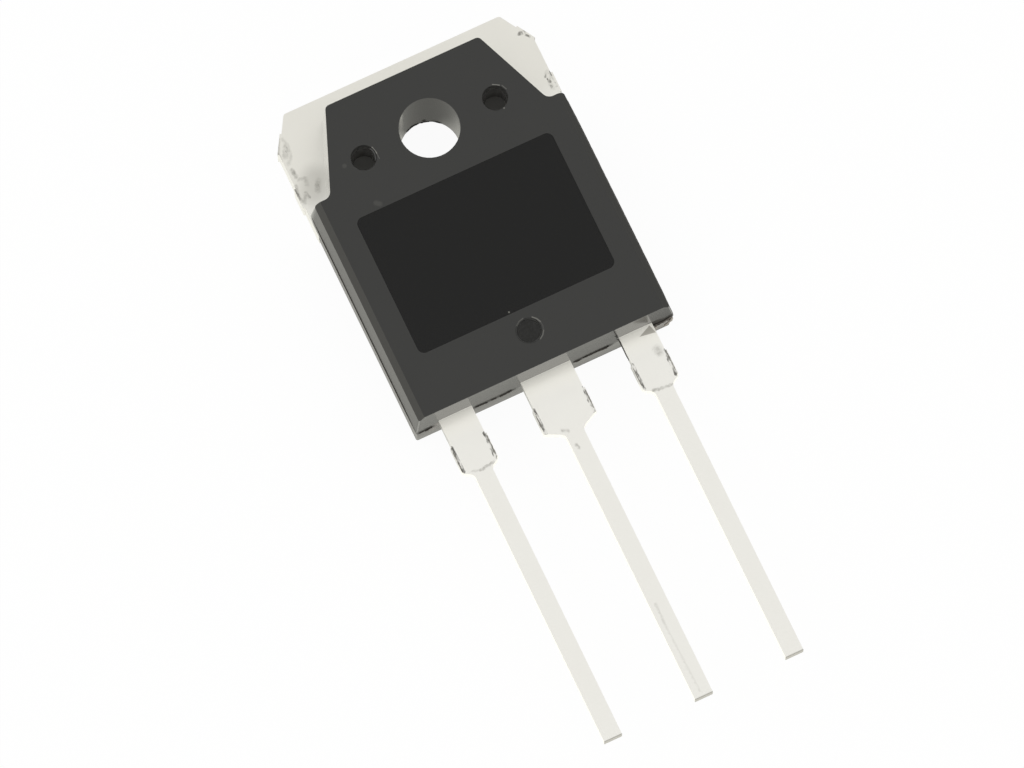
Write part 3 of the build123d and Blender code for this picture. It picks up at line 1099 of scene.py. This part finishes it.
# Burrs where the tie bars were cut from the tab.
stub = tab_side - 0.06
stub_top = plate_gauge - 0.05
grow(
    "tie_bar_burrs",
    [
        [(stub, 0.85, stub_top), (stub, -0.2, stub_top)],
        [(-stub, 0.85, stub_top), (-stub, -0.2, stub_top)],
        [(stub, 0.7, 0.3), (stub, -0.25, 0.3)],
        [(-stub, 0.7, 0.3), (-stub, -0.25, 0.3)],
    ],
    cut_metal,
    radius=0.035,
    raggedness=0.3,
    step=0.08,
    crumb=0.025,
    share=0.3,
    seed=11,
)

# ---- floor, light and camera ---------------------------------------------------------------
floor_reach = 3  # metres each way
floor_height = -0.00002  # just clear of the part's back
floor_mesh = bpy.data.meshes.new("studio_floor")
floor_mesh.from_pydata(
    [
        (x * floor_reach, y * floor_reach, floor_height)
        for x, y in ((-1, -1), (1, -1), (1, 1), (-1, 1))
    ],
    [],
    [(0, 1, 2, 3)],
)
studio_floor = bpy.data.objects.new("studio_floor", floor_mesh)
bpy.context.collection.objects.link(studio_floor)

# Matt white paper. The camera sees it white, with a faint shadow from its lit share. Mirror rays
# see it slightly warm and, by zones given in the part's millimetres, brightest in the open
# and dimmer beside the housing, at the foot of its lead end and under the bore: a painted
# shadow and painted light that only mirrors see. This staging sets the tones that the walls,
# the leads and the bore mirror.
paper = bpy.data.materials.new("white_paper_sweep")
paper.use_nodes = True
tree = paper.node_tree
tree.nodes.clear()
rays = add_node(tree, "ShaderNodeLightPath")
mirrored = add_node(
    tree,
    "ShaderNodeMath",
    {0: rays.outputs["Is Glossy Ray"], 1: rays.outputs["Is Transmission Ray"]},
    operation="MAXIMUM",
)
spot = add_node(
    tree,
    "ShaderNodeVectorMath",
    {0: add_node(tree, "ShaderNodeTexCoord").outputs["Object"], "Scale": 1 / MM},
    operation="SCALE",
)
across, along, _ = add_node(tree, "ShaderNodeSeparateXYZ", {0: spot}).outputs

# Under the leads' wide parts, falling off towards the source side.
mirror_glow = add_node(tree, "ShaderNodeMapRange", {0: across, 1: -8, 2: 4, 3: 0.75, 4: 0.61})
corner = add_node(tree, "ShaderNodeMapRange", {0: across, 1: 4, 2: 7.6, 3: 1.0, 4: 0.6})
mirror_glow = add_node(tree, "ShaderNodeMath", {0: mirror_glow, 1: corner}, operation="MULTIPLY")

# At the foot of the lead end.
foot_glow = add_node(tree, "ShaderNodeMapRange", {0: across, 1: -8, 2: 5, 3: 0.5, 4: 0.78})
at_foot = add_node(
    tree, "ShaderNodeMapRange", {0: along, 1: lead_end - 0.8, 2: lead_end - 0.4}
)
mirror_glow = add_node(
    tree, "ShaderNodeMix", {0: at_foot, 2: mirror_glow, 3: foot_glow}, data_type="FLOAT"
)

# Beyond the gate side, and beside the housing.
outside = add_node(
    tree, "ShaderNodeMapRange", {0: across, 1: -8.4, 2: -7.9, 3: 1.0, 4: 0.0}
)
mirror_glow = add_node(
    tree, "ShaderNodeMix", {0: outside, 2: mirror_glow, 3: 0.95}, data_type="FLOAT"
)
side_glow = add_node(tree, "ShaderNodeMapRange", {0: across, 1: -8, 2: 9, 3: 0.95, 4: 0.42})
beside = add_node(tree, "ShaderNodeMapRange", {0: along, 1: lead_end - 0.1, 2: lead_end + 0.3})
mirror_glow = add_node(
    tree, "ShaderNodeMix", {0: beside, 2: mirror_glow, 3: side_glow}, data_type="FLOAT"
)

# In the open, from the dam bars' stubs outwards.
in_open = add_node(
    tree,
    "ShaderNodeMapRange",
    {0: along, 1: lead_end - 2.3, 2: lead_end - 1.9, 3: 1.0, 4: 0.0},
)
mirror_glow = add_node(
    tree, "ShaderNodeMix", {0: in_open, 2: mirror_glow, 3: 1.25}, data_type="FLOAT"
)

# Under the bore, dimmest in the middle.
from_axis = add_node(tree, "ShaderNodeVectorMath", {0: spot}, operation="LENGTH")
under_bore = add_node(
    tree, "ShaderNodeMath", {0: from_axis, 1: bore_radius + 0.4}, operation="LESS_THAN"
)
bore_left = add_node(tree, "ShaderNodeMapRange", {0: across, 1: -1.1, 2: -0.6, 3: 1.0, 4: 0.5})
bore_right = add_node(tree, "ShaderNodeMapRange", {0: across, 1: 0.9, 2: 1.5, 3: 0.5, 4: 0.98})
bore_glow = add_node(tree, "ShaderNodeMath", {0: bore_left, 1: bore_right}, operation="MAXIMUM")
mirror_glow = add_node(
    tree, "ShaderNodeMix", {0: under_bore, 2: mirror_glow, 3: bore_glow}, data_type="FLOAT"
)

# The paper's own light is 0.95 of what the camera sees and 0.8 of what mirrors see. The rest
# is lit, and keeps the shadow.
glow = add_node(
    tree, "ShaderNodeMix", {0: mirrored, 2: 1.0, 3: mirror_glow}, data_type="FLOAT"
)
share = add_node(
    tree, "ShaderNodeMath", {0: rays.outputs["Is Camera Ray"], 1: 0.95}, operation="MULTIPLY"
)
share = add_node(
    tree, "ShaderNodeMath", {0: mirrored, 1: 0.8, 2: share}, operation="MULTIPLY_ADD"
)
warmth = add_node(
    tree, "ShaderNodeMix", {0: mirrored, 6: (1, 1, 1, 1), 7: linear("#FFFEF4")}, data_type="RGBA"
)
lit = add_node(tree, "ShaderNodeBsdfDiffuse", {"Color": linear("#F4F4F4")})
white = add_node(tree, "ShaderNodeEmission", {"Color": warmth, "Strength": glow})
add_node(
    tree,
    "ShaderNodeOutputMaterial",
    {"Surface": add_node(tree, "ShaderNodeMixShader", {0: share, 1: lit, 2: white})},
)
floor_mesh.materials.append(paper)

# A light tent: white all round, with a small dim opening overhead that the panel mirrors.
world = bpy.data.worlds.new("light_tent")
bpy.context.scene.world = world
world.use_nodes = True
tree = world.node_tree
tree.nodes.clear()
opening_direction = Vector((0.108, 0.235, 0.966)).normalized()
opening_edge = radians(4.6)
opening_core = radians(2.6)
opening = add_node(
    tree,
    "ShaderNodeVectorMath",
    {
        0: add_node(tree, "ShaderNodeTexCoord").outputs["Generated"],
        1: opening_direction,
    },
    operation="DOT_PRODUCT",
)
dim = add_node(
    tree,
    "ShaderNodeMapRange",
    {0: opening, 1: cos(opening_edge), 2: cos(opening_core), 3: 0.97, 4: 0.2},
    interpolation_type="SMOOTHSTEP",
)
background = add_node(
    tree, "ShaderNodeBackground", {"Color": linear("#FFFFFC"), "Strength": dim}
)
add_node(tree, "ShaderNodeOutputWorld", {"Surface": background})


lamp_distance = 0.5
part_middle = Vector((0, -0.01, 0))


def softbox(name, azimuth, elevation, size, watts):
    """A square lamp that faces the part from a direction given in degrees."""
    lamp = bpy.data.lights.new(name, "AREA")
    lamp.size = size
    lamp.energy = watts
    away = Vector(
        (
            sin(radians(azimuth)) * cos(radians(elevation)),
            -cos(radians(azimuth)) * cos(radians(elevation)),
            sin(radians(elevation)),
        )
    )
    holder = bpy.data.objects.new(name, lamp)
    holder.location = away * lamp_distance + part_middle
    holder.rotation_mode = "QUATERNION"
    holder.rotation_quaternion = (-away).to_track_quat("-Z", "Y")
    bpy.context.collection.objects.link(holder)


softbox("softbox_left", azimuth=-110, elevation=50, size=0.25, watts=0.2)

camera_data = bpy.data.cameras.new("camera")
camera_data.sensor_width = 36
camera_data.lens = 312.4
camera_data.clip_start = 0.05
camera_data.clip_end = 10
camera = bpy.data.objects.new("camera", camera_data)
camera_azimuth = radians(-25.366)
camera_elevation = radians(75.946)
camera_distance = 486.25 * MM
aim = Vector((-1.856, -14.483, front_face / 2)) * MM
towards_camera = Vector(
    (
        sin(camera_azimuth) * cos(camera_elevation),
        -cos(camera_azimuth) * cos(camera_elevation),
        sin(camera_elevation),
    )
)
camera.location = aim + towards_camera * camera_distance
camera.rotation_mode = "QUATERNION"
camera.rotation_quaternion = (-towards_camera).to_track_quat("-Z", "Y")
bpy.context.collection.objects.link(camera)
bpy.context.scene.camera = camera
bpy.context.scene.view_settings.view_transform = "Standard"
